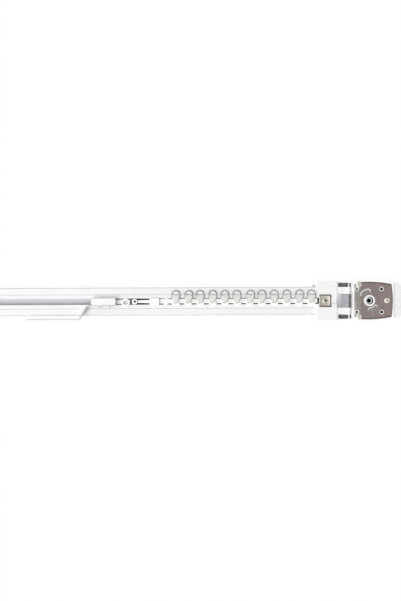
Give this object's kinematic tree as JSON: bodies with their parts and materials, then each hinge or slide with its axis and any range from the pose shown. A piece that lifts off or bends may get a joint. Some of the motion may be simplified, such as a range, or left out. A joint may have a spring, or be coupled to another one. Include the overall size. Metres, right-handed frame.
{
  "type": "curtain track",
  "caption": "Belt-driven curtain track with a slotted white profile, drive box and idler box, a sliding carrier with a lead arm, and gliders with flopping rings.",
  "frame": {"origin": "middle of the bounding box's bottom, on the track's back face, which lies on the surface", "axes": "+X along the track towards the drive box, +Y across it, +Z out of the slot"},
  "size_m": [0.8001, 0.051, 0.0319],
  "materials": {
    "track_white": "satin white powder coat",
    "white_plastic": "white moulded plastic, half gloss",
    "light_plastic": "light grey moulded plastic",
    "ring_plastic": "translucent nylon",
    "plate_steel": "taupe grey sintered look, fine grain",
    "guide_steel": "grey sheet steel",
    "nickel": "nickel, slightly yellow",
    "socket_steel": "bright steel",
    "black_rubber": "matt",
    "bronze": "sintered bronze",
    "arm_white": "white painted strip",
    "dark_steel": "blackened"
  },
  "bodies": {
    "track": {"track_profile": "track_white", "drive_belt": "black_rubber", "drive_collar": "white_plastic", "guide_plate": "guide_steel", "end_stop_plate": "nickel", "end_stop_screw": "nickel", "gear_base": "white_plastic", "gear_cover": "white_plastic", "motor_plate": "plate_steel", "plate_screws": "nickel", "lower_bush": "bronze", "upper_bush": "bronze", "end_cap": "light_plastic", "idler_box": "white_plastic", "idler_cover": "white_plastic", "idler_screws": "nickel", "idler_axle": "nickel"},
    "drive_wheel": {"drive_pulley": "white_plastic", "socket_insert": "socket_steel"},
    "idler_wheel": {"idler_pulley": "white_plastic"},
    "carrier": {"carrier_chassis": "white_plastic", "carrier_head": "white_plastic", "hook_eye": "white_plastic", "eye_rivet": "nickel", "clamp_screw": "dark_steel", "link_bar": "white_plastic", "tail_trolley": "white_plastic", "wheel_axles": "nickel", "belt_clamp": "white_plastic", "lead_arm": "arm_white", "arm_screws": "nickel"},
    "front_wheels": {"wheels_front": "white_plastic"},
    "middle_wheels": {"wheels_middle": "white_plastic"},
    "rear_wheels": {"wheels_rear": "white_plastic"},
    "glider_01_body": {"glider_01": "white_plastic"},
    "glider_02_body": {"glider_02": "white_plastic"},
    "glider_03_body": {"glider_03": "white_plastic"},
    "glider_04_body": {"glider_04": "white_plastic"},
    "glider_05_body": {"glider_05": "white_plastic"},
    "glider_06_body": {"glider_06": "white_plastic"},
    "glider_07_body": {"glider_07": "white_plastic"},
    "glider_08_body": {"glider_08": "white_plastic"},
    "glider_09_body": {"glider_09": "white_plastic"},
    "glider_10_body": {"glider_10": "white_plastic"},
    "glider_11_body": {"glider_11": "white_plastic"},
    "glider_12_body": {"glider_12": "white_plastic"},
    "glider_13_body": {"glider_13": "white_plastic"},
    "ring_01_body": {"ring_01": "ring_plastic"},
    "ring_02_body": {"ring_02": "ring_plastic"},
    "ring_03_body": {"ring_03": "ring_plastic"},
    "ring_04_body": {"ring_04": "ring_plastic"},
    "ring_05_body": {"ring_05": "ring_plastic"},
    "ring_06_body": {"ring_06": "ring_plastic"},
    "ring_07_body": {"ring_07": "ring_plastic"},
    "ring_08_body": {"ring_08": "ring_plastic"},
    "ring_09_body": {"ring_09": "ring_plastic"},
    "ring_10_body": {"ring_10": "ring_plastic"},
    "ring_11_body": {"ring_11": "ring_plastic"},
    "ring_12_body": {"ring_12": "ring_plastic"}
  },
  "joints": [
    {"name": "carrier_slide", "type": "slide", "parent": "track", "child": "carrier", "axis": [-1, 0, 0], "range_m": [0, 0.318]},
    {"name": "drive_spin", "type": "hinge", "parent": "track", "child": "drive_wheel", "pos_m": [0.3589, 0, 0], "axis": [0, 0, -1], "continuous": true},
    {"name": "idler_spin", "type": "hinge", "parent": "track", "child": "idler_wheel", "pos_m": [-0.355, 0, 0], "axis": [0, 0, -1], "continuous": true},
    {"name": "front_wheels_spin", "type": "hinge", "parent": "carrier", "child": "front_wheels", "pos_m": [0.03102, 0, 0.0095], "axis": [0, 1, 0], "continuous": true},
    {"name": "middle_wheels_spin", "type": "hinge", "parent": "carrier", "child": "middle_wheels", "pos_m": [0.04502, 0, 0.0095], "axis": [0, 1, 0], "continuous": true},
    {"name": "rear_wheels_spin", "type": "hinge", "parent": "carrier", "child": "rear_wheels", "pos_m": [0.10012, 0, 0.0095], "axis": [0, 1, 0], "continuous": true},
    {"name": "glider_01_slide", "type": "slide", "parent": "track", "child": "glider_01_body", "axis": [-1, 0, 0], "range_m": [0, 0.318]},
    {"name": "glider_02_slide", "type": "slide", "parent": "track", "child": "glider_02_body", "axis": [-1, 0, 0], "range_m": [0, 0.318]},
    {"name": "glider_03_slide", "type": "slide", "parent": "track", "child": "glider_03_body", "axis": [-1, 0, 0], "range_m": [0, 0.318]},
    {"name": "glider_04_slide", "type": "slide", "parent": "track", "child": "glider_04_body", "axis": [-1, 0, 0], "range_m": [0, 0.318]},
    {"name": "glider_05_slide", "type": "slide", "parent": "track", "child": "glider_05_body", "axis": [-1, 0, 0], "range_m": [0, 0.318]},
    {"name": "glider_06_slide", "type": "slide", "parent": "track", "child": "glider_06_body", "axis": [-1, 0, 0], "range_m": [0, 0.318]},
    {"name": "glider_07_slide", "type": "slide", "parent": "track", "child": "glider_07_body", "axis": [-1, 0, 0], "range_m": [0, 0.318]},
    {"name": "glider_08_slide", "type": "slide", "parent": "track", "child": "glider_08_body", "axis": [-1, 0, 0], "range_m": [0, 0.318]},
    {"name": "glider_09_slide", "type": "slide", "parent": "track", "child": "glider_09_body", "axis": [-1, 0, 0], "range_m": [0, 0.318]},
    {"name": "glider_10_slide", "type": "slide", "parent": "track", "child": "glider_10_body", "axis": [-1, 0, 0], "range_m": [0, 0.318]},
    {"name": "glider_11_slide", "type": "slide", "parent": "track", "child": "glider_11_body", "axis": [-1, 0, 0], "range_m": [0, 0.318]},
    {"name": "glider_12_slide", "type": "slide", "parent": "track", "child": "glider_12_body", "axis": [-1, 0, 0], "range_m": [0, 0.318]},
    {"name": "glider_13_slide", "type": "slide", "parent": "track", "child": "glider_13_body", "axis": [-1, 0, 0], "range_m": [0, 0.318]},
    {"name": "ring_01_flop", "type": "hinge", "parent": "glider_01_body", "child": "ring_01_body", "pos_m": [0.29146, -0.0016, 0.017], "axis": [0.9994, 0.0349, 0], "range_deg": [0, 180]},
    {"name": "ring_02_flop", "type": "hinge", "parent": "glider_02_body", "child": "ring_02_body", "pos_m": [0.27631, -0.0016, 0.017], "axis": [0.9994, -0.0349, 0], "range_deg": [0, 180]},
    {"name": "ring_03_flop", "type": "hinge", "parent": "glider_03_body", "child": "ring_03_body", "pos_m": [0.2614, -0.0016, 0.017], "axis": [0.9994, 0.0349, 0], "range_deg": [0, 180]},
    {"name": "ring_04_flop", "type": "hinge", "parent": "glider_04_body", "child": "ring_04_body", "pos_m": [0.24645, -0.00159, 0.017], "axis": [0.9962, 0.0872, 0], "range_deg": [0, 180]},
    {"name": "ring_05_flop", "type": "hinge", "parent": "glider_05_body", "child": "ring_05_body", "pos_m": [0.23136, -0.0016, 0.017], "axis": [0.9986, 0.0523, 0], "range_deg": [0, 180]},
    {"name": "ring_06_flop", "type": "hinge", "parent": "glider_06_body", "child": "ring_06_body", "pos_m": [0.21608, -0.00159, 0.017], "axis": [0.9945, -0.1045, 0], "range_deg": [0, 180]},
    {"name": "ring_07_flop", "type": "hinge", "parent": "glider_07_body", "child": "ring_07_body", "pos_m": [0.20139, -0.00159, 0.017], "axis": [0.9945, 0.1045, 0], "range_deg": [0, 180]},
    {"name": "ring_08_flop", "type": "hinge", "parent": "glider_08_body", "child": "ring_08_body", "pos_m": [0.18633, -0.00159, 0.017], "axis": [0.9962, 0.0872, 0], "range_deg": [0, 180]},
    {"name": "ring_09_flop", "type": "hinge", "parent": "glider_09_body", "child": "ring_09_body", "pos_m": [0.17119, -0.0016, 0.017], "axis": [0.9998, 0.0175, 0], "range_deg": [0, 180]},
    {"name": "ring_10_flop", "type": "hinge", "parent": "glider_10_body", "child": "ring_10_body", "pos_m": [0.1563, -0.00159, 0.017], "axis": [0.9945, 0.1045, 0], "range_deg": [0, 180]},
    {"name": "ring_11_flop", "type": "hinge", "parent": "glider_11_body", "child": "ring_11_body", "pos_m": [0.14093, -0.00159, 0.017], "axis": [0.9945, -0.1045, 0], "range_deg": [0, 180]},
    {"name": "ring_12_flop", "type": "hinge", "parent": "glider_12_body", "child": "ring_12_body", "pos_m": [0.12607, -0.0016, 0.017], "axis": [1, 0, 0], "range_deg": [0, 180]}
  ],
  "couplings": [
    {"joint": "drive_spin", "follows": "carrier_slide", "rad_per_m": 73.92},
    {"joint": "idler_spin", "follows": "carrier_slide", "rad_per_m": 73.92},
    {"joint": "front_wheels_spin", "follows": "carrier_slide", "rad_per_m": 240.96},
    {"joint": "middle_wheels_spin", "follows": "carrier_slide", "rad_per_m": 240.96},
    {"joint": "rear_wheels_spin", "follows": "carrier_slide", "rad_per_m": 240.96},
    {"joint": "glider_01_slide", "follows": "carrier_slide", "ratio": 0.071429},
    {"joint": "glider_02_slide", "follows": "carrier_slide", "ratio": 0.14286},
    {"joint": "glider_03_slide", "follows": "carrier_slide", "ratio": 0.21429},
    {"joint": "glider_04_slide", "follows": "carrier_slide", "ratio": 0.28571},
    {"joint": "glider_05_slide", "follows": "carrier_slide", "ratio": 0.35714},
    {"joint": "glider_06_slide", "follows": "carrier_slide", "ratio": 0.42857},
    {"joint": "glider_07_slide", "follows": "carrier_slide", "ratio": 0.5},
    {"joint": "glider_08_slide", "follows": "carrier_slide", "ratio": 0.57143},
    {"joint": "glider_09_slide", "follows": "carrier_slide", "ratio": 0.64286},
    {"joint": "glider_10_slide", "follows": "carrier_slide", "ratio": 0.71429},
    {"joint": "glider_11_slide", "follows": "carrier_slide", "ratio": 0.78571},
    {"joint": "glider_12_slide", "follows": "carrier_slide", "ratio": 0.85714},
    {"joint": "glider_13_slide", "follows": "carrier_slide", "ratio": 0.92857}
  ]
}
